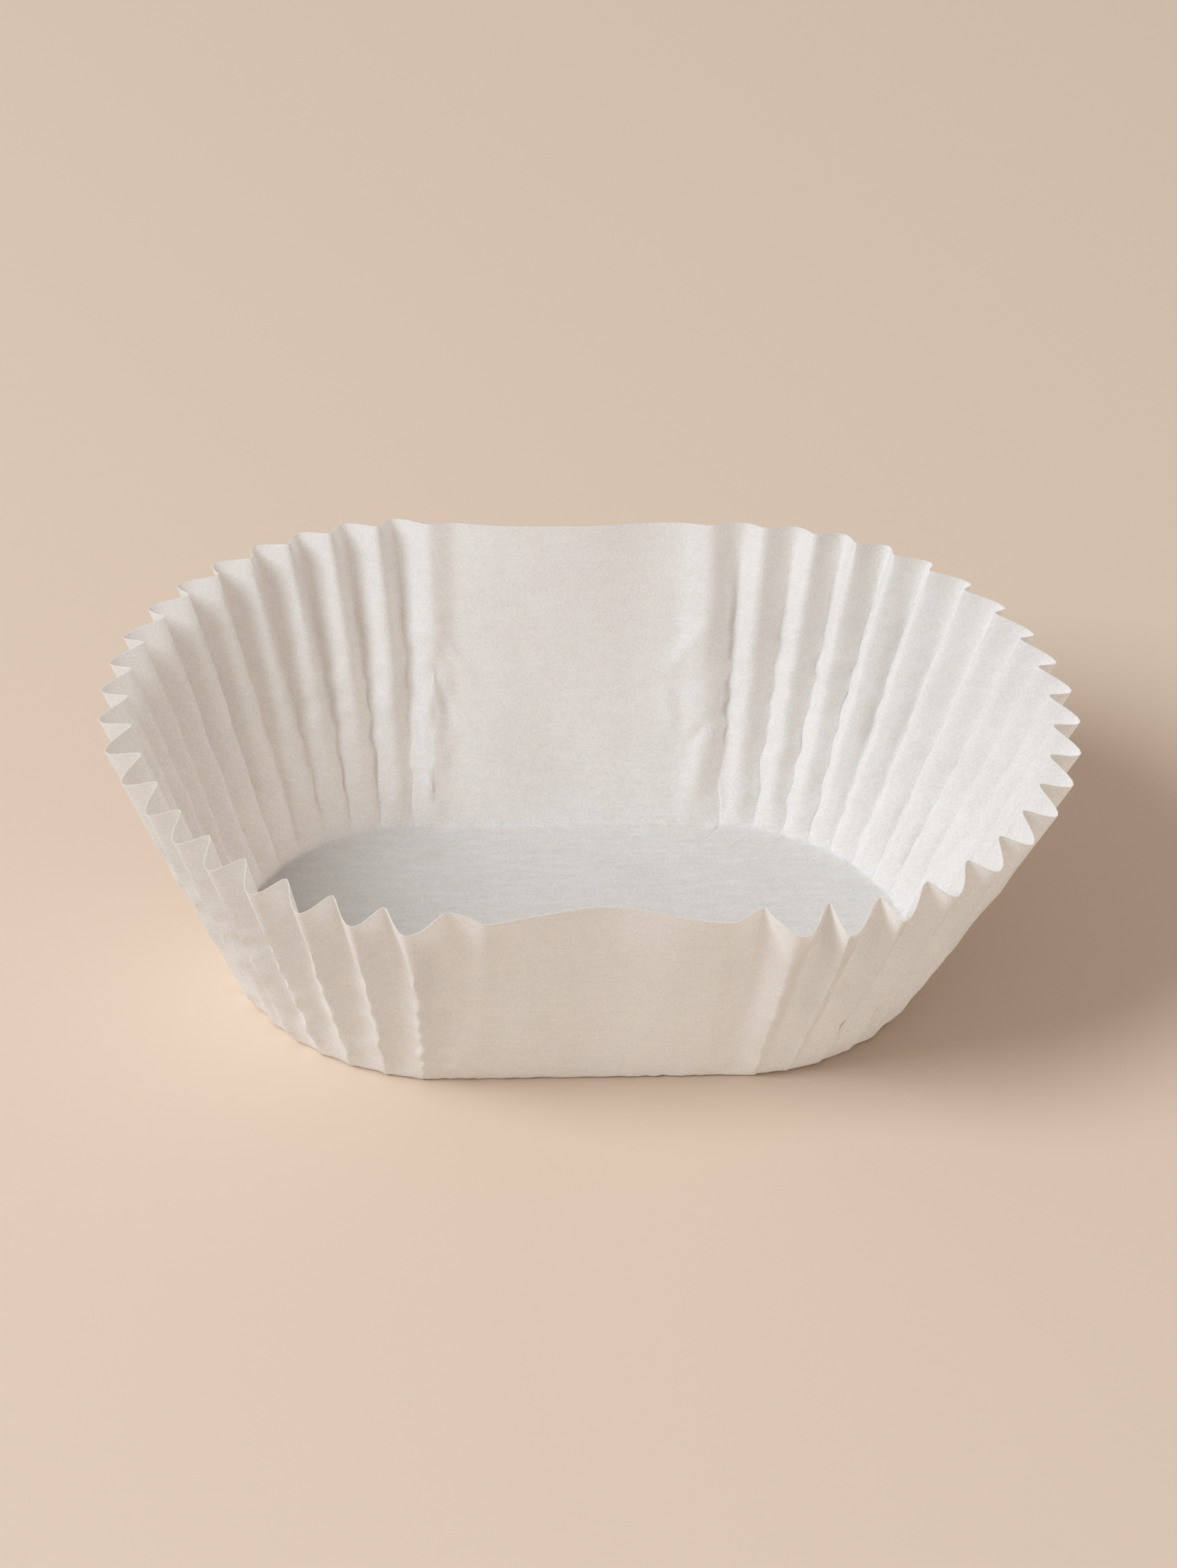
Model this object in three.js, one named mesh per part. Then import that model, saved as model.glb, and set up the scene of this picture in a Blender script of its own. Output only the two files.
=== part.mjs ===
// Oval baking cup, pressed from one sheet of greaseproof paper.
// The sheet starts as a flat oval. Its middle stays flat as the floor, and the band round it
// turns up as the wall. Along the two long sides the wall is smooth. Round each end the sheet is
// longer than the rim that it has to follow, and twenty pleats take up what is spare: they are
// nothing at the floor and deepen towards the rim, as far as the sheet's own length asks.
// Millimetres, +X along the cup, +Z up, origin under the middle of the floor.
import * as THREE from 'three';

// Driving dimensions
const floorLength = 85;
const floorWidth = 49.8;
const wallSlant = 40.1; // from the edge of the floor to the rim, along the paper
const paperThickness = 0.12;
const cornerRadius = 0.8; // where the floor turns up into the wall
const pleatsPerEnd = 20;
const innerRoundness = 0.65; // of the folds that point inwards, where a plain wave's is 1
const outerRoundness = 1.15; // of the crests that point outwards
const paperColour = 0xefeae2;

// Places round the cup are counted in quarter turns: 0 the middle of the back,
// 1 the middle of the left end, 2 the middle of the front, 3 the middle of the right end.
const turn = 4;

// Lean of the wall, in degrees from upright, as [place, lean]
const wallLean = [
  [0, 17.0], [0.16, 17.7], [0.31, 20.7], [0.5, 21.6], [0.7, 22.2], [0.84, 22.9], [1.0, 22.7],
  [1.2, 22.1], [1.4, 22.9], [1.66, 23.3], [1.71, 23.2], [1.83, 21.4], [1.98, 19.8], [2.19, 23.0],
  [2.35, 23.1], [2.43, 23.8], [2.6, 22.8], [2.85, 22.5], [3.18, 23.0], [3.38, 22.5], [3.5, 20.8],
  [3.57, 19.3], [3.66, 18.2], [3.79, 19.0], [3.92, 17.4],
];

// How much of the spare sheet the pleats take up, as [place, share]
const pleatFill = [
  [0.31, 0.72], [0.48, 0.78], [0.66, 0.88], [0.78, 0.96], [0.88, 0.88], [1.06, 1.0], [1.2, 0.84],
  [1.4, 0.96], [1.55, 0.84], [1.66, 0.9], [2.3, 0.93], [2.39, 1.18], [2.48, 0.97], [2.58, 0.82],
  [2.8, 0.95], [3.0, 0.98], [3.2, 0.82], [3.38, 0.76], [3.47, 0.76], [3.56, 0.5], [3.65, 0.35],
];

// Where the inner creases stand, as [share of the end's pleats, quarter turns from the back]
const leftCreases = [
  [0, 0.309], [0.1, 0.453], [0.25, 0.647], [0.5, 0.965], [0.75, 1.299], [0.9, 1.503],
  [0.95, 1.574], [1, 1.657],
];
const rightCreases = [
  [0, 0.317], [0.1, 0.472], [0.25, 0.65], [0.35, 0.778], [0.5, 0.981], [0.65, 1.189],
  [0.75, 1.321], [0.9, 1.539], [0.95, 1.61], [1, 1.703],
];

// How far each outer crest stands past the middle of its pleat, as [share of the end's pleats,
// share of the pleat]
const leftSkew = [
  [0, 0.14], [0.08, 0.02], [0.17, 0.01], [0.27, 0.1], [0.33, 0.08], [0.375, 0.18], [0.47, 0.02],
  [0.57, -0.03], [0.67, 0.08], [0.77, 0.01], [0.93, 0.02], [0.98, -0.11],
];
const rightSkew = [
  [0, 0.1], [0.1, 0], [0.17, 0.05], [0.24, 0.21], [0.38, 0.22], [0.48, 0.06], [0.65, -0.03],
  [0.74, 0.08], [0.82, 0.13], [0.88, 0.28], [0.93, 0.31], [0.98, -0.08],
];

// Steps of the mesh: up the wall as shares of its slant, across one pleat, along one smooth side,
// and round the corner between floor and wall
const wallSteps = [0.06, 0.15, 0.32, 0.6, 1];
const stepsPerPleat = 8;
const sideSteps = 10;
const cornerSteps = 2;

// Sizes that follow from the driving ones
const endRadius = floorWidth / 2;
const halfStraight = floorLength / 2 - endRadius;
const endArc = Math.PI * endRadius;
const outlineLength = 4 * halfStraight + 2 * endArc;
const pleatPitch = endArc / pleatsPerEnd;

// Smooth curve through [place, value] points. A closed one runs on from its end to its start.
function through(points, at, closed) {
  const last = points.length - 1;
  const point = (k) => {
    if (!closed) return points[Math.min(Math.max(k, 0), last)];
    const lap = Math.floor(k / points.length);
    const [place, value] = points[k - lap * points.length];
    return [place + lap * turn, value];
  };
  let k = closed ? -1 : 0;
  while (at > point(k + 1)[0] && k < last - (closed ? 0 : 1)) k += 1;
  const [x0, y0] = point(k - 1);
  const [x1, y1] = point(k);
  const [x2, y2] = point(k + 1);
  const [x3, y3] = point(k + 2);
  const span = x2 - x1;
  const slope1 = (y2 - y0) / (x2 - x0);
  const slope2 = (y3 - y1) / (x3 - x1);
  const t = (at - x1) / span;
  return y1 * (1 + 2 * t) * (1 - t) ** 2 + slope1 * span * t * (1 - t) ** 2
    + y2 * t * t * (3 - 2 * t) - slope2 * span * t * t * (1 - t);
}

// Point of the floor's outline and the direction out of it, at a place round the cup
function outline(place) {
  const run = (place / turn) * outlineLength;
  const backHalf = run < outlineLength / 2;
  const along = backHalf ? run : run - outlineLength / 2;
  const turned = backHalf ? 1 : -1; // the second half is the first turned half a turn
  if (along < halfStraight) {
    return { x: -along * turned, y: endRadius * turned, outX: 0, outY: turned };
  }
  if (along > halfStraight + endArc) {
    const x = along - endArc - 2 * halfStraight;
    return { x: x * turned, y: -endRadius * turned, outX: 0, outY: -turned };
  }
  const angle = Math.PI / 2 + (along - halfStraight) / endRadius;
  const outX = Math.cos(angle) * turned;
  const outY = Math.sin(angle) * turned;
  return { x: -halfStraight * turned + endRadius * outX, y: endRadius * outY, outX, outY };
}

// Depth of a pleat from crest to fold at a distance up the wall: the flat sheet's half pleat is
// the slope of a right triangle that stands on the room the leaning wall leaves for it.
function pleatDepth(up, lean) {
  const halfSheet = (pleatPitch / 2) * (1 + up / endRadius);
  const halfRoom = (pleatPitch / 2) * (1 + (up * Math.sin(lean)) / endRadius);
  return Math.sqrt(halfSheet ** 2 - halfRoom ** 2);
}

// One pleat from inner crease to inner crease, followed along the sheet: how far across its room
// the sheet has come, from 0 to 1, and its height, from -1 at the creases to 1 at the crest. A
// crest is the rounder, the more of the room the sheet crosses there.
function pleatCurve(along) {
  const angle = 2 * Math.PI * along;
  const tighter = (innerRoundness - outerRoundness) / 2;
  const looser = (innerRoundness + outerRoundness) / 2 - 1;
  const eased = tighter * Math.sin(angle) + (looser * Math.sin(2 * angle)) / 2;
  return { across: along + eased / (2 * Math.PI), fold: -Math.cos(angle) };
}

// Places round the cup where the mesh has an edge up the wall, with the fold's height there
function stations() {
  const list = [];
  const addEnd = (creases, skew) => {
    const end = [];
    for (let pleat = 0; pleat < pleatsPerEnd; pleat += 1) {
      const crest = 0.5 + through(skew, (pleat + 0.5) / pleatsPerEnd, false);
      for (let step = 0; step < stepsPerPleat; step += 1) {
        const { across, fold } = pleatCurve(step / stepsPerPleat);
        const skewed = across < 0.5 ? 2 * across * crest : 1 - 2 * (1 - across) * (1 - crest);
        const place = through(creases, (pleat + skewed) / pleatsPerEnd, false);
        end.push({ place, fold });
      }
    }
    return end;
  };
  const addSide = (from, to) => {
    const pitch = (pleatPitch / outlineLength) * turn;
    for (let step = 0; step < sideSteps; step += 1) {
      // closer together beside the pleats than in the middle of the side
      const share = (1 - Math.cos((Math.PI * step) / sideSteps)) / 2;
      const place = from + (to - from) * share;
      const near = Math.min(place - from, to - place) / pitch;
      list.push({ place, fold: near < 1 ? -((1 - near) ** 2) : 0 });
    }
  };
  const leftEnd = leftCreases.at(-1)[1];
  const rightStart = turn - rightCreases.at(-1)[1];
  const rightEnd = turn - rightCreases[0][1];
  list.push(...addEnd(leftCreases, leftSkew));
  addSide(leftEnd, rightStart);
  const right = addEnd(rightCreases, rightSkew).concat({ place: rightCreases.at(-1)[1], fold: -1 });
  list.push(...right.slice(1).reverse().map(({ place, fold }) => ({ place: turn - place, fold })));
  addSide(rightEnd, turn + leftCreases[0][1]);
  return list;
}

// One run of points from the floor to the rim at a station: flat floor, rounded corner, wall
function wallRun({ place, fold }) {
  const at = place % turn;
  const { x, y, outX, outY } = outline(at);
  const lean = THREE.MathUtils.degToRad(through(wallLean, at, true));
  const fill = through(pleatFill, Math.min(Math.max(at, pleatFill[0][0]), pleatFill.at(-1)[0]));
  const bend = Math.PI / 2 - lean;
  const tangent = cornerRadius * Math.tan(bend / 2);
  const run = [];
  const add = (out, up) => run.push(new THREE.Vector3(x + out * outX, y + out * outY, up));
  for (let step = 0; step < cornerSteps; step += 1) {
    const bent = (bend * step) / cornerSteps;
    add(-tangent + cornerRadius * Math.sin(bent), cornerRadius * (1 - Math.cos(bent)));
  }
  for (const share of [tangent / wallSlant, ...wallSteps]) {
    const up = share * wallSlant;
    const swing = (fold * fill * pleatDepth(up, lean)) / 2;
    add(up * Math.sin(lean) + swing * Math.cos(lean), up * Math.cos(lean) - swing * Math.sin(lean));
  }
  return run;
}

// Way out of the sheet at each point of the runs, long enough at a crease for both faces beside it
function outwards(runs) {
  return runs.map((run, i) => {
    const next = runs[(i + 1) % runs.length];
    const before = runs[(i + runs.length - 1) % runs.length];
    return run.map((point, j) => {
      if (j === 0) return new THREE.Vector3(0, 0, -1);
      const above = run[Math.min(j + 1, run.length - 1)];
      const rise = above.clone().sub(run[j - 1]).normalize();
      const ahead = next[j].clone().sub(point).normalize();
      const behind = point.clone().sub(before[j]).normalize();
      const faces = [ahead.cross(rise).normalize(), behind.cross(rise).normalize()];
      return faces[0].clone().add(faces[1]).divideScalar(1 + faces[0].dot(faces[1]));
    });
  });
}

// The sheet as one closed body: outer skin, inner skin a paper's thickness inside it, rim and floor
function cupGeometry() {
  const outer = stations().map(wallRun);
  const out = outwards(outer);
  const inner = outer.map((run, i) => run.map(
    (point, j) => point.clone().addScaledVector(out[i][j], -paperThickness),
  ));
  const rings = outer[0].length;
  const positions = [];
  const triangles = [];
  const addSkin = (runs, height) => {
    const first = positions.length / 3;
    runs.forEach((run) => run.forEach((point) => positions.push(point.x, point.y, point.z)));
    positions.push(0, 0, height);
    const middle = first + runs.length * rings;
    return { vertex: (i, j) => first + (i % runs.length) * rings + j, middle };
  };
  const outside = addSkin(outer, 0);
  const inside = addSkin(inner, paperThickness);
  const addQuad = (a, b, c, d) => triangles.push(a, b, c, a, c, d);
  for (let i = 0; i < outer.length; i += 1) {
    for (let j = 0; j < rings - 1; j += 1) {
      const skin = (side, far) => side.vertex(i + (far ? 1 : 0), j);
      addQuad(skin(outside, false), skin(outside, true),
        outside.vertex(i + 1, j + 1), outside.vertex(i, j + 1));
      addQuad(skin(inside, true), skin(inside, false),
        inside.vertex(i, j + 1), inside.vertex(i + 1, j + 1));
    }
    const top = rings - 1;
    addQuad(outside.vertex(i, top), outside.vertex(i + 1, top),
      inside.vertex(i + 1, top), inside.vertex(i, top));
    triangles.push(outside.middle, outside.vertex(i + 1, 0), outside.vertex(i, 0));
    triangles.push(inside.middle, inside.vertex(i, 0), inside.vertex(i + 1, 0));
  }
  const geometry = new THREE.BufferGeometry();
  geometry.setAttribute('position', new THREE.Float32BufferAttribute(positions, 3));
  geometry.setIndex(triangles);
  geometry.computeVertexNormals();
  return geometry;
}

const paper = new THREE.MeshStandardMaterial({ color: paperColour, roughness: 0.85, metalness: 0 });
const cup = new THREE.Mesh(cupGeometry(), paper);
cup.name = 'paper_cup';

const part = new THREE.Group();
part.add(cup);

export default part;
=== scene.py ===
import math

import bpy
import numpy as np
from mathutils import Matrix, Vector, noise


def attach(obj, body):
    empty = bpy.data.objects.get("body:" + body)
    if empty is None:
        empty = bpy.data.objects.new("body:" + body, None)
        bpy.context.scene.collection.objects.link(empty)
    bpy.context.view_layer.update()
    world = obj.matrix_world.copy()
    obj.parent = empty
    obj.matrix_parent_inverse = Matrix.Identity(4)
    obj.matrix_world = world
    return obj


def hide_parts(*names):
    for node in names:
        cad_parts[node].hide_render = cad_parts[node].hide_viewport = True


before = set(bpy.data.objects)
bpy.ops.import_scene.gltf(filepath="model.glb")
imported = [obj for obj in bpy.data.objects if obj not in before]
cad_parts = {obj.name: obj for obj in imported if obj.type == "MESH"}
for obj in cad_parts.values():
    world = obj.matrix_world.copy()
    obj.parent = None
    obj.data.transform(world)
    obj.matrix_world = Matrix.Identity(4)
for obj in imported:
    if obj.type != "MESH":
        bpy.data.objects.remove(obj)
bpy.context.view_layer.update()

# The cup: one oval sheet of white greaseproof paper. Its middle stays flat as the floor, and the
# band round it, as wide as the wall is long, is what the press turns up. It has no glue and no
# second part, and it stands loose on its floor.
mm = 0.001
floor_length = 85 * mm
floor_width = 49.8 * mm
wall_slant = 40.1 * mm
paper_thickness = 0.06 * mm
corner_radius = 0.8 * mm  # where the wall leaves the floor

turn = 4  # places round the cup are counted in quarter turns: 0 back, 1 left, 2 front, 3 right
end_radius = floor_width / 2
half_straight = floor_length / 2 - end_radius
end_arc = math.pi * end_radius
outline_length = 4 * half_straight + 2 * end_arc


def outline(place):
    """Point of the floor's outline and the direction out of it, at a place round the cup."""
    run = place / turn * outline_length
    turned = 1 if run < outline_length / 2 else -1
    along = run if turned == 1 else run - outline_length / 2
    if along < half_straight:
        return -along * turned, end_radius * turned, 0, turned
    if along > half_straight + end_arc:
        x = along - end_arc - 2 * half_straight
        return x * turned, -end_radius * turned, 0, -turned
    angle = math.pi / 2 + (along - half_straight) / end_radius
    out_x, out_y = math.cos(angle) * turned, math.sin(angle) * turned
    return -half_straight * turned + end_radius * out_x, end_radius * out_y, out_x, out_y


# The press: two long smooth sides and twenty pleats round each end. The pleats take up what the
# sheet has to spare, so they are nothing at the floor and deepen up to the rim. Low down they
# are pressed tight and sharp, and towards the rim they open into round folds.
pleats_per_end = 20
pleat_pitch = end_arc / pleats_per_end
pleat_turn = pleat_pitch / outline_length * turn
rim_roundness = (0.7, 1.15)  # of inner folds and outer crests, where a plain wave's is 1
low_roundness = (1.3, 0.25)
low_skew_share = 0.35
low_fill = 1.0  # share of the spare sheet that the pleats take up low down

wall_lean = [  # degrees from upright, at places round the cup
    (0, 17.0), (0.16, 17.7), (0.31, 20.7), (0.5, 21.6), (0.7, 22.2), (0.84, 22.9), (1.0, 22.7),
    (1.2, 22.1), (1.4, 22.9), (1.66, 23.3), (1.71, 23.2), (1.83, 21.4), (1.98, 19.8),
    (2.19, 23.0), (2.35, 23.1), (2.43, 23.8), (2.6, 22.8), (2.85, 22.5), (3.18, 23.0),
    (3.38, 22.5), (3.5, 20.8), (3.57, 19.3), (3.66, 18.2), (3.79, 19.0), (3.92, 17.4),
]
pleat_fill = [  # share of the spare sheet that the pleats take up at the rim
    (0.31, 0.72), (0.48, 0.78), (0.66, 0.88), (0.78, 0.96), (0.88, 0.88), (1.06, 1.0),
    (1.2, 0.84), (1.4, 0.96), (1.55, 0.84), (1.66, 0.9), (2.3, 0.93), (2.39, 1.18),
    (2.48, 0.97), (2.58, 0.82), (2.8, 0.95), (3.0, 0.98), (3.2, 0.82), (3.38, 0.76),
    (3.47, 0.76), (3.56, 0.5), (3.65, 0.35),
]
# The lists for one end give a value at a share of its pleats, counted from the back. These two
# say where the inner folds stand, in quarter turns from the back.
left_folds = [
    (0, 0.309), (0.1, 0.453), (0.25, 0.647), (0.5, 0.965), (0.75, 1.299), (0.9, 1.503),
    (0.95, 1.574), (1, 1.657),
]
right_folds = [
    (0, 0.317), (0.1, 0.472), (0.25, 0.65), (0.35, 0.778), (0.5, 0.981), (0.65, 1.189),
    (0.75, 1.321), (0.9, 1.539), (0.95, 1.61), (1, 1.703),
]
left_skew = [  # how far an outer crest stands past the middle of its pleat
    (0, 0.14), (0.08, 0.02), (0.17, 0.01), (0.27, 0.1), (0.33, 0.08), (0.375, 0.18),
    (0.47, 0.02), (0.57, -0.03), (0.67, 0.08), (0.77, 0.01), (0.93, 0.02), (0.98, -0.11),
]
right_skew = [
    (0, 0.1), (0.1, 0), (0.17, 0.05), (0.24, 0.21), (0.38, 0.22), (0.48, 0.06), (0.65, -0.03),
    (0.74, 0.08), (0.82, 0.13), (0.88, 0.28), (0.93, 0.31), (0.98, -0.08),
]
left_feet = [  # how far the foot of a fold stands aside from its top, in millimetres
    (0, -1.2), (0.13, -1.15), (0.25, -0.8), (0.35, -0.5), (0.5, 0), (0.82, 0), (0.88, 0.4),
    (0.93, 1.0), (1, 1.5),
]
right_feet = [(0, 0), (1, 0)]
left_kinks = [(0, 1), (0.35, 0.7), (0.6, 0.5), (0.8, 1), (1, 1)]  # how kinked the folds are
right_kinks = [(0, 1), (0.35, 0.8), (0.6, 0.4), (0.8, 0.3), (1, 0.3)]


def through(points, at, closed=False):
    """Smooth curve through (place, value) points. A closed one runs on from end to start."""
    last = len(points) - 1

    def point(k):
        if not closed:
            return points[min(max(k, 0), last)]
        lap, kept = divmod(k, len(points))
        return points[kept][0] + lap * turn, points[kept][1]

    k = -1 if closed else 0
    while at > point(k + 1)[0] and k < last - (0 if closed else 1):
        k += 1
    (x0, y0), (x1, y1), (x2, y2), (x3, y3) = point(k - 1), point(k), point(k + 1), point(k + 2)
    span = x2 - x1
    slope1, slope2 = (y2 - y0) / (x2 - x0), (y3 - y1) / (x3 - x1)
    t = (at - x1) / span
    return (y1 * (1 + 2 * t) * (1 - t) ** 2 + slope1 * span * t * (1 - t) ** 2
            + y2 * t * t * (3 - 2 * t) - slope2 * span * t * t * (1 - t))


def across_pleat(step, roundness, crest):
    """Share of the pleat's room that a step along its sheet has crossed, wide where it is round."""
    inner, outer = roundness
    share = (step + (inner - outer) * math.sin(2 * math.pi * step) / (4 * math.pi)
             + (inner + outer - 2) * math.sin(4 * math.pi * step) / (8 * math.pi))
    return 2 * share * crest if step < 0.5 else 1 - 2 * (1 - share) * (1 - crest)


def pleat_depth(up, lean):
    """Depth from crest to fold where the flat sheet's half pleat is a slope over half the room."""
    half_sheet = pleat_pitch / 2 * (1 + up / end_radius)
    half_room = pleat_pitch / 2 * (1 + up * math.sin(lean) / end_radius)
    return math.sqrt(half_sheet ** 2 - half_room ** 2)


# Handling marks: below the upper third of the wall every fold wanders a little to and fro, in
# short straight kinks, as the folds of such cups do that were nested for packing.
chance = np.random.default_rng(7)
kink_spacing = (1.4 * mm, 3.0 * mm)
crest_reach, fold_reach = 0.36 * mm, 0.2 * mm
least_kink = 0.3  # share of the reach
back_and_forth = 0.85  # share of the kinks that turn back to the other side
heights = np.linspace(0, wall_slant, 161)
kink_strength = [(0.5 * mm, 0), (4 * mm, 1), (21 * mm, 1), (33 * mm, 0.06), (wall_slant, 0)]
kinked = np.interp(heights, *zip(*kink_strength))


def kinks(reach):
    """How far one fold wanders sideways at each of the heights."""
    at, offsets, side = [0.0], [0.0], chance.choice((-1, 1))
    while at[-1] < wall_slant:
        at.append(at[-1] + chance.uniform(*kink_spacing))
        side = -side if chance.random() < back_and_forth else side
        offsets.append(side * chance.uniform(least_kink, 1) * reach)
    return np.interp(heights, at, offsets) * kinked


# The wall, line by line: every line runs up the sheet from the floor to the rim. Round the ends
# each pleat has twelve of them, and along the smooth sides they are close together only beside
# the pleats.
steps_per_pleat = 12
side_steps = 50
side_crowding = 0.6
tight_height = 29 * mm  # up to here the pleats are tight, and from here they open
tight = np.interp(heights, (tight_height, wall_slant), (1, 0))
to_foot = 1 - (heights / wall_slant) ** 2


def end_lines(fold_places, skew, feet, kinkiness):
    """Lines up the wall over one end, each with its place, its fold and how it wanders."""
    folds = [kinks(fold_reach) * through(kinkiness, pleat / pleats_per_end)
             for pleat in range(pleats_per_end + 1)]
    crests = [kinks(crest_reach) * through(kinkiness, (pleat + 0.5) / pleats_per_end)
              for pleat in range(pleats_per_end)]
    lines = []
    for pleat in range(pleats_per_end):
        skewed = through(skew, (pleat + 0.5) / pleats_per_end)
        room = (through(fold_places, (pleat + 1) / pleats_per_end)
                - through(fold_places, pleat / pleats_per_end)) / turn * outline_length
        for count in range(steps_per_pleat):
            step = count / steps_per_pleat
            across = across_pleat(step, rim_roundness, 0.5 + skewed)
            low_across = across_pleat(step, low_roundness, 0.5 + skewed * low_skew_share)
            tighter = (low_across - across) * room
            to_crest = (1 - math.cos(2 * math.pi * step)) / 2
            fold = folds[pleat] if step < 0.5 else folds[pleat + 1]
            foot = through(feet, (pleat + across) / pleats_per_end) * mm
            wander = (crests[pleat] * to_crest + fold * (1 - to_crest)
                      + tighter * tight + foot * to_foot)
            place = through(fold_places, (pleat + across) / pleats_per_end)
            lines.append((place, -math.cos(2 * math.pi * step), wander))
    lines.append((fold_places[-1][1], -1, folds[-1] + feet[-1][1] * mm * to_foot))
    return lines


def side_lines(first_line, last_line):
    """Lines up the wall over one smooth side, which still follow the folds at its two edges."""
    start, stop = first_line[0], last_line[0]
    if stop < start:
        stop += turn
    lines = []
    for step in range(1, side_steps):
        share = step / side_steps
        crowded = share - side_crowding * math.sin(2 * math.pi * share) / (2 * math.pi)
        place = start + (stop - start) * crowded
        first, last = (place - start) / pleat_turn, (stop - place) / pleat_turn
        near = min(first, last, 1)
        beside = (1 + 2 * near) * (1 - near) ** 2
        from_first, from_last = max(0, 1 - 2 * share), max(0, 2 * share - 1)
        wander = first_line[2] * from_first + last_line[2] * from_last
        lines.append((place, -beside, wander))
    return lines


left = end_lines(left_folds, left_skew, left_feet, left_kinks)
right = [(turn - place, fold, -wander) for place, fold, wander
         in reversed(end_lines(right_folds, right_skew, right_feet, right_kinks))]
lines = left + side_lines(left[-1], right[0]) + right + side_lines(right[-1], left[0])

floor_rings = (0.15, 0.35, 0.55, 0.72, 0.84, 0.91, 0.95, 0.98)  # shares of the way to the corner
corner_steps = 4
foot_swing = 0.1 * mm  # how far the folds already swing where the wall leaves the floor
low_ring, ring_gap, even_from, even_rings = 0.9 * mm, 0.55 * mm, 28 * mm, 13
wall_rings = (list(np.arange(low_ring, even_from, ring_gap))
              + list(np.linspace(even_from, wall_slant, even_rings)))


def wall_line(place, fold, wander):
    """Points of one line from the middle of the floor to the rim, and where they lay when flat."""
    at = place % turn
    x, y, out_x, out_y = outline(at)
    lean = math.radians(through(wall_lean, at, closed=True))
    fill = through(pleat_fill, min(max(at, pleat_fill[0][0]), pleat_fill[-1][0]))
    bend = math.pi / 2 - lean
    tangent = corner_radius * math.tan(bend / 2)
    corner_x = x - tangent * out_x - wander[0] * out_y
    corner_y = y - tangent * out_y + wander[0] * out_x
    points = [(corner_x * share, corner_y * share, 0) for share in floor_rings]
    flat = [(corner_x * share, corner_y * share) for share in floor_rings]

    def add(out, up, aside, unrolled):
        points.append((x + out * out_x - aside * out_y, y + out * out_y + aside * out_x, up))
        flat.append((x + unrolled * out_x, y + unrolled * out_y))

    for step in range(corner_steps):
        bent = bend * step / corner_steps
        swing = fold * foot_swing * (1 + step) / corner_steps
        add(-tangent + corner_radius * math.sin(bent) + swing,
            corner_radius * (1 - math.cos(bent)), wander[0], -tangent + corner_radius * bent)
    for up in wall_rings:
        pressed = fill + (low_fill - fill) * float(np.interp(up, heights, tight))
        swing = fold * pressed * pleat_depth(up, lean) / 2
        add(up * math.sin(lean) + swing * math.cos(lean),
            up * math.cos(lean) - swing * math.sin(lean),
            float(np.interp(up, heights, wander)), up)
    return points, flat


# The sheet is drawn as a ring of edges, extruded once for each height, and every point of it
# then goes to its place on the pressed cup. The middle of the floor closes it.
drawn = [wall_line(*line) for line in lines]
rings = len(drawn[0][0])
lift = 1 * mm

bpy.ops.object.select_all(action="DESELECT")
bpy.ops.mesh.primitive_circle_add(vertices=len(drawn), radius=end_radius, calc_uvs=False)
cup = bpy.context.object
cup.name = "greaseproof_cup"
bpy.ops.object.mode_set(mode="EDIT")
for _ in range(rings - 1):
    bpy.ops.mesh.extrude_edges_move(TRANSFORM_OT_translate={"value": (0, 0, lift)})
bpy.ops.object.mode_set(mode="OBJECT")

sheet = cup.data
first_angle = math.atan2(sheet.vertices[0].co.y, sheet.vertices[0].co.x)
unrolled, spot = {}, {}
for vertex in sheet.vertices:
    angle = math.atan2(vertex.co.y, vertex.co.x) - first_angle
    line = round(angle / (2 * math.pi) * len(drawn)) % len(drawn)
    ring = round(vertex.co.z / lift)
    vertex.co = drawn[line][0][ring]
    unrolled[vertex.index] = drawn[line][1][ring]
    spot[vertex.index] = (line, ring)

bpy.ops.object.mode_set(mode="EDIT")
bpy.ops.mesh.select_all(action="DESELECT")
bpy.ops.object.mode_set(mode="OBJECT")
for vertex in sheet.vertices:
    vertex.select = spot[vertex.index][1] == 0
bpy.ops.object.mode_set(mode="EDIT")
bpy.ops.mesh.select_mode(type="VERT")
bpy.ops.mesh.edge_face_add()
bpy.ops.mesh.poke()
bpy.ops.mesh.select_all(action="SELECT")
bpy.ops.mesh.normals_make_consistent(inside=False)
bpy.ops.object.mode_set(mode="OBJECT")

# Marks in the thin paper: small dents in the faces between the folds, deepest low down, soft
# wrinkles where the wall leaves the floor, and in the smooth sides slow waves and a few longer
# creases. The noise that makes each of them is cut from its own layer.
dent_reach, dent_width, dent_height, dent_layer = 0.45 * mm, 2.2 * mm, 4.5 * mm, 3.3
wave_reach, wave_width, wave_height, wave_layer = 0.8 * mm, 11 * mm, 55 * mm, 5.1
wave_foot, wave_rim = 6 * mm, 8 * mm  # the waves fade out over these, at the floor and the rim
side_dents = 0.15  # strength of the dents in the smooth sides, where the pleats' is 1
wrinkle_reach, wrinkle_width, wrinkle_rings, wrinkle_layer = 0.2 * mm, 1.1 * mm, 2.5, 7.7
wrinkle_lift = 0.35  # added to the noise, of which only what is above nothing is pressed in
wrinkle_top = 3 * mm
floor_wrinkle_rings, floor_wrinkle_share = 3, 0.5
crease_fullness = 0.6  # how soon a crease reaches its depth from either end
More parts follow.
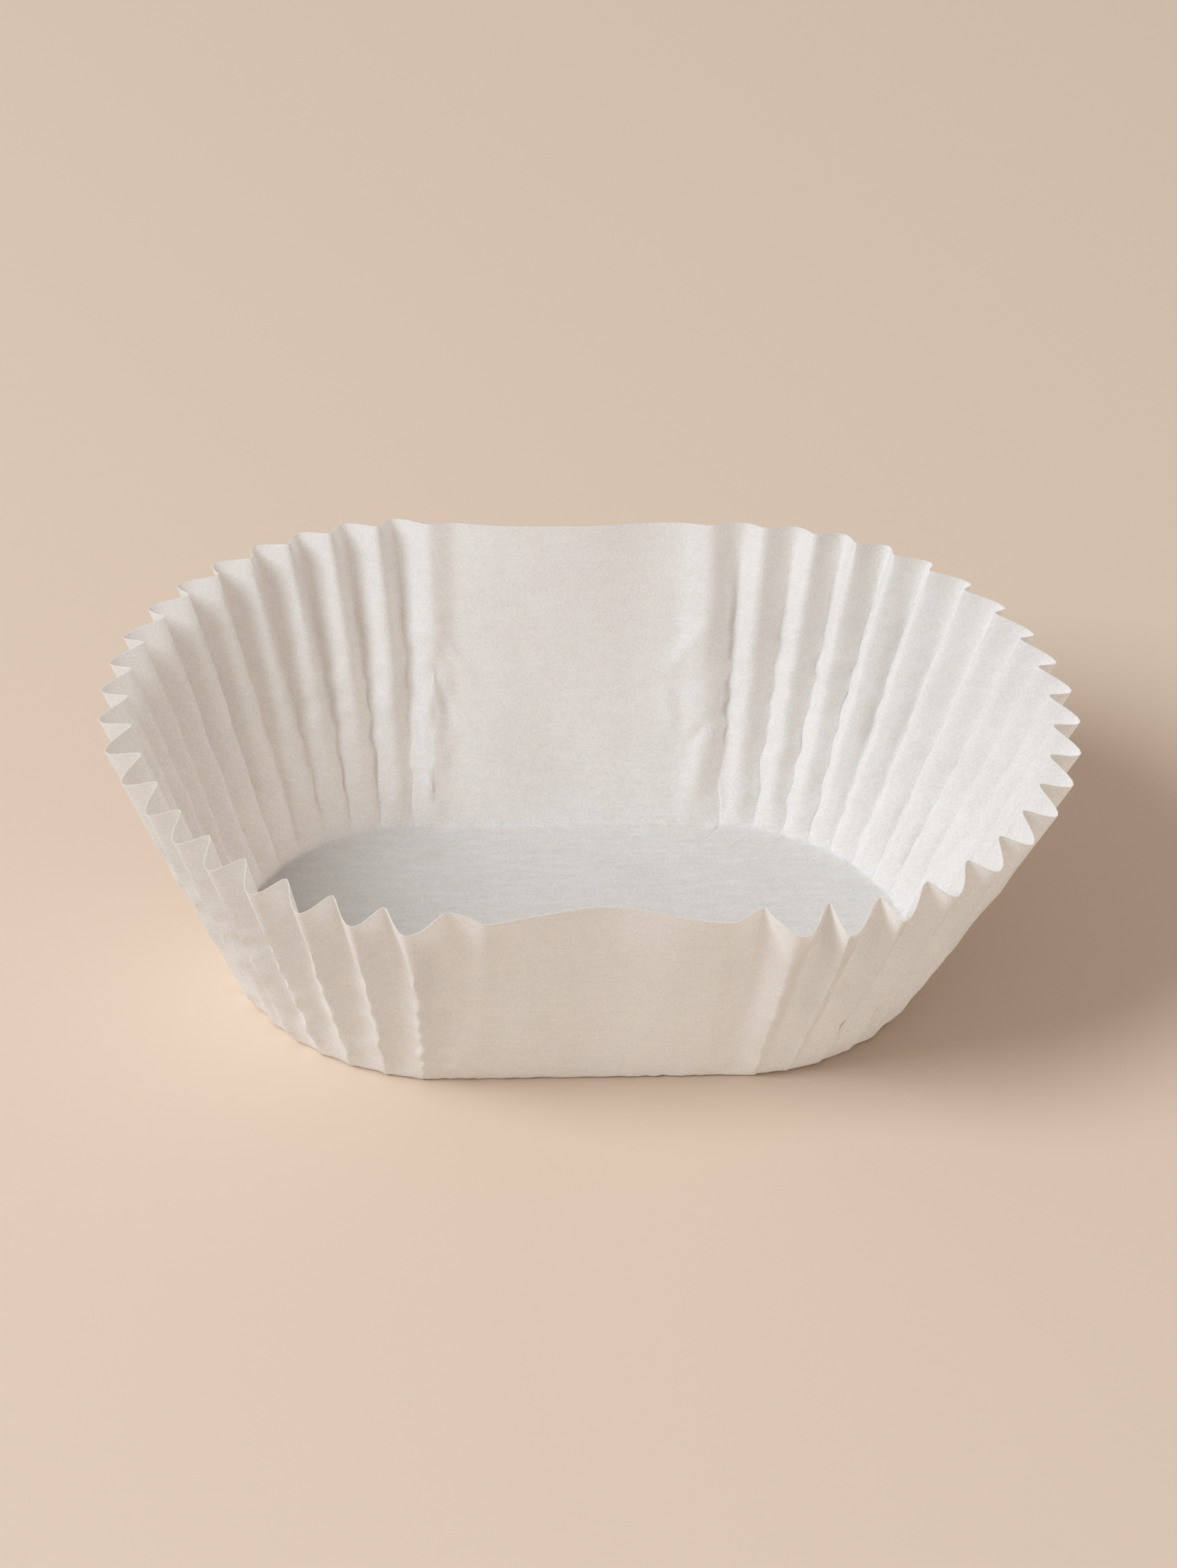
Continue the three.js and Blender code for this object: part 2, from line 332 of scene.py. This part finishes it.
creases = [  # in millimetres: from x and height, to x and height, side, depth inwards, width
    (-17.4, 25.0, -13.6, 13.0, 1, -0.5, 0.7), (-16.2, 26.5, -10.8, 18.5, 1, 0.5, 0.9),
    (19.8, 15.6, 15.8, 10.9, 1, -0.45, 0.6), (19.4, 14.6, 15.6, 0, 1, 0.5, 1.3),
    (18.5, 28.0, 13.0, 20.0, 1, 0.45, 1.1), (12.5, 19.0, 14.5, 13.0, 1, 0.45, 1.1),
    (-20.0, 17.0, -17.0, 2.0, -1, -0.45, 1.5), (-12.0, 26.0, -9.5, 6.0, -1, -0.4, 3.0),
]


def crease_depth(x, up, side):
    """How far the creases of a side, 1 back or -1 front, press a point inwards."""
    pressed = 0
    for x1, up1, x2, up2, crease_side, depth, width in creases:
        along_x, along_up = x2 - x1, up2 - up1
        length = math.hypot(along_x, along_up)
        from_x, from_up = x / mm - x1, up / mm - up1
        share = (from_x * along_x + from_up * along_up) / length ** 2
        off = (from_x * along_up - from_up * along_x) / length
        if side == crease_side and 0 < share < 1:
            fullness = math.sin(math.pi * share) ** crease_fullness
            pressed += depth * math.exp(-(off / width) ** 2) * fullness
    return pressed * mm


first_corner_ring = len(floor_rings)
first_wall_ring = first_corner_ring + corner_steps
outwards = [vertex.normal.copy() for vertex in sheet.vertices]
for index, (line, ring) in spot.items():
    vertex = sheet.vertices[index]
    up = wall_rings[ring - first_wall_ring] if ring >= first_wall_ring else 0
    run = lines[line][0] / turn * outline_length
    if ring >= first_corner_ring - floor_wrinkle_rings:
        near_foot = max(0, 1 - up / wrinkle_top)
        if ring < first_corner_ring:
            near_foot *= floor_wrinkle_share
        wrinkle = noise.noise(Vector((run / wrinkle_width, ring / wrinkle_rings, wrinkle_layer)))
        vertex.co -= outwards[index] * max(0, wrinkle + wrinkle_lift) * near_foot * wrinkle_reach
    if ring < first_wall_ring:
        continue
    pleated = min(1, abs(lines[line][1]) + side_dents)
    dent = noise.noise(Vector((run / dent_width, up / dent_height, dent_layer)))
    dent *= float(np.interp(up, heights, kinked)) * pleated
    wave = noise.noise(Vector((run / wave_width, up / wave_height, wave_layer)))
    wave *= min(1, up / wave_foot, (wall_slant - up) / wave_rim) * (1 + side_dents - pleated)
    crease = crease_depth(vertex.co.x, up, 1 if vertex.co.y > 0 else -1)
    vertex.co += outwards[index] * (dent * dent_reach + wave * wave_reach - crease)

flat_map = sheet.uv_layers.new(name="sheet")
for loop in sheet.loops:
    flat_map.data[loop.index].uv = unrolled.get(loop.vertex_index, (0, 0))

# The paper's thickness goes inwards from the drawn side, and the tight folds stay sharp.
bpy.ops.object.modifier_add(type="SOLIDIFY")
wall = cup.modifiers[-1]
wall.thickness = paper_thickness
wall.offset = -1
bpy.ops.object.modifier_apply(modifier=wall.name)
bpy.ops.object.shade_smooth_by_angle(angle=math.radians(60))

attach(cup, "root")
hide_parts("paper_cup")

# Greaseproof paper: bleached off-white pulp, beaten so fine that it is half see-through, with a
# soft calendered surface. Its fibres lie in clouds, and in streaks along the sheet.
paper = bpy.data.materials.new("greaseproof_paper")
paper.use_nodes = True
nodes, links = paper.node_tree.nodes, paper.node_tree.links
shader = nodes["Principled BSDF"]
coordinates = nodes.new("ShaderNodeTexCoord")


def speckle(scale, detail, stretch=1):
    """Noise over the cup, or where it is stretched along the sheet, over the flat sheet."""
    spread = nodes.new("ShaderNodeMapping")
    spread.inputs["Scale"].default_value = (1 / stretch, 1, 1)
    links.new(coordinates.outputs["UV" if stretch > 1 else "Object"], spread.inputs["Vector"])
    grain = nodes.new("ShaderNodeTexNoise")
    grain.inputs["Scale"].default_value = scale
    grain.inputs["Detail"].default_value = detail
    grain.inputs["Roughness"].default_value = 0.6
    links.new(spread.outputs["Vector"], grain.inputs["Vector"])
    return grain.outputs["Fac"]


def mixed(first, second, share):
    """The two values mixed, with this share of the second one, a number or a value too."""
    mix = nodes.new("ShaderNodeMix")
    if isinstance(share, float):
        mix.inputs["Factor"].default_value = share
    else:
        links.new(share, mix.inputs["Factor"])
    links.new(first, mix.inputs["A"])
    links.new(second, mix.inputs["B"])
    return mix.outputs["Result"]


fibres = speckle(scale=3600, detail=2)
streaks = speckle(scale=1000, detail=4, stretch=6)
patches = mixed(speckle(scale=700, detail=4), streaks, share=0.5)
clouds = mixed(patches, speckle(scale=110, detail=3), share=0.35)

# Where it lies flat, the paper's colour is multiplied by a warm tint. This is painted warm bounce
# light, standing in for light from what the cup stands on coming through the paper, and it brings
# out the streaks there too.
position = nodes.new("ShaderNodeSeparateXYZ")
links.new(coordinates.outputs["Object"], position.inputs["Vector"])
resting = nodes.new("ShaderNodeMapRange")
resting.inputs["From Min"].default_value = 0.07 * mm
resting.inputs["From Max"].default_value = 0.35 * mm
resting.inputs["To Min"].default_value = 1
resting.inputs["To Max"].default_value = 0
links.new(position.outputs["Z"], resting.inputs["Value"])
streak_share = nodes.new("ShaderNodeMath")
streak_share.operation = "MULTIPLY"
streak_share.inputs[1].default_value = 0.13
links.new(resting.outputs["Result"], streak_share.inputs[0])

tone = nodes.new("ShaderNodeValToRGB")
thin, dense = tone.color_ramp.elements
thin.position, thin.color = 0.39, (0.76, 0.75, 0.735, 1)
dense.position, dense.color = 0.61, (0.95, 0.945, 0.935, 1)
links.new(mixed(mixed(fibres, clouds, share=0.5), streaks, streak_share.outputs["Value"]),
          tone.inputs["Fac"])
# Painted warm bounce light: the tint multiplied in below is not the paper's own colour.
painted_warm_bounce = nodes.new("ShaderNodeMix")
painted_warm_bounce.data_type = "RGBA"
painted_warm_bounce.blend_type = "MULTIPLY"
first_colour, second_colour, mixed_colour = painted_warm_bounce.inputs[6], painted_warm_bounce.inputs[7], painted_warm_bounce.outputs[2]
second_colour.default_value = (1.05, 0.94, 0.848, 1)
links.new(resting.outputs["Result"], painted_warm_bounce.inputs["Factor"])
links.new(tone.outputs["Color"], first_colour)
links.new(mixed_colour, shader.inputs["Base Color"])

bump = nodes.new("ShaderNodeBump")
bump.inputs["Strength"].default_value = 1
bump.inputs["Distance"].default_value = 0.07 * mm
links.new(mixed(fibres, clouds, share=0.3), bump.inputs["Height"])
links.new(bump.outputs["Normal"], shader.inputs["Normal"])
shader.inputs["Roughness"].default_value = 0.6
shader.inputs["Subsurface Weight"].default_value = 0.7
shader.inputs["Subsurface Radius"].default_value = (1.0, 0.85, 0.72)
shader.inputs["Subsurface Scale"].default_value = 0.52 * mm
sheet.materials.append(paper)

# What it stands on: a plain pale floor, matt and far wider than the view. It lies a little lower
# than the paper, so that the two never share a face.
floor_size, floor_gap = 6, 0.03 * mm
bpy.ops.object.select_all(action="DESELECT")
bpy.ops.mesh.primitive_plane_add(size=floor_size, location=(0, 0, -floor_gap))
pale_floor = bpy.context.object
pale_floor.name = "pale_floor"
floor_finish = bpy.data.materials.new("pale_floor_matt")
floor_finish.use_nodes = True
floor_shader = floor_finish.node_tree.nodes["Principled BSDF"]
floor_shader.inputs["Base Color"].default_value = (0.74, 0.615, 0.505, 1)
floor_shader.inputs["Roughness"].default_value = 0.8
pale_floor.data.materials.append(floor_finish)

# Light: one big soft window high up on the left, a little to the front, and a warm room round
# it. The window is turned to the middle of the cup.
window_place = (-1.05, -0.48, 1.16)
cup_middle = Vector((0, 0, 20 * mm))
bpy.ops.object.light_add(type="AREA", location=window_place)
window = bpy.context.object
window.name = "window"
window.data.shape = "DISK"
window.data.size = 0.8
window.data.energy = 19.8
window.data.color = (0.90, 0.955, 1.0)
window.rotation_euler = (cup_middle - window.location).to_track_quat("-Z", "Y").to_euler()

room = bpy.data.worlds.new("room")
bpy.context.scene.world = room
room.use_nodes = True
room_light = room.node_tree.nodes["Background"]
room_light.inputs["Color"].default_value = (1, 0.88, 0.78, 1)
room_light.inputs["Strength"].default_value = 0.49

# The view: a long lens from the front, a little to the left and from above, and turned a little
# about its own axis.
eye = Vector((-91.16, -699.98, 571.17)) * mm
yaw, pitch, roll = 0.1297, 0.6576, 0.0699
focal_pixels, photo_height, film_height = 10301, 2212, 36
view_depth = 20
ahead = Vector((math.sin(yaw) * math.cos(pitch), math.cos(yaw) * math.cos(pitch),
                -math.sin(pitch)))
level = Vector((math.cos(yaw), -math.sin(yaw), 0))
above = level.cross(ahead)
right_way = level * math.cos(roll) + above * math.sin(roll)
up_way = above * math.cos(roll) - level * math.sin(roll)
bpy.ops.object.camera_add(location=eye)
camera = bpy.context.object
camera.rotation_euler = Matrix((right_way, up_way, -ahead)).transposed().to_euler()
camera.data.lens = focal_pixels / photo_height * film_height
camera.data.sensor_width = film_height
camera.data.clip_end = view_depth
bpy.context.scene.camera = camera
bpy.context.scene.view_settings.view_transform = "Standard"
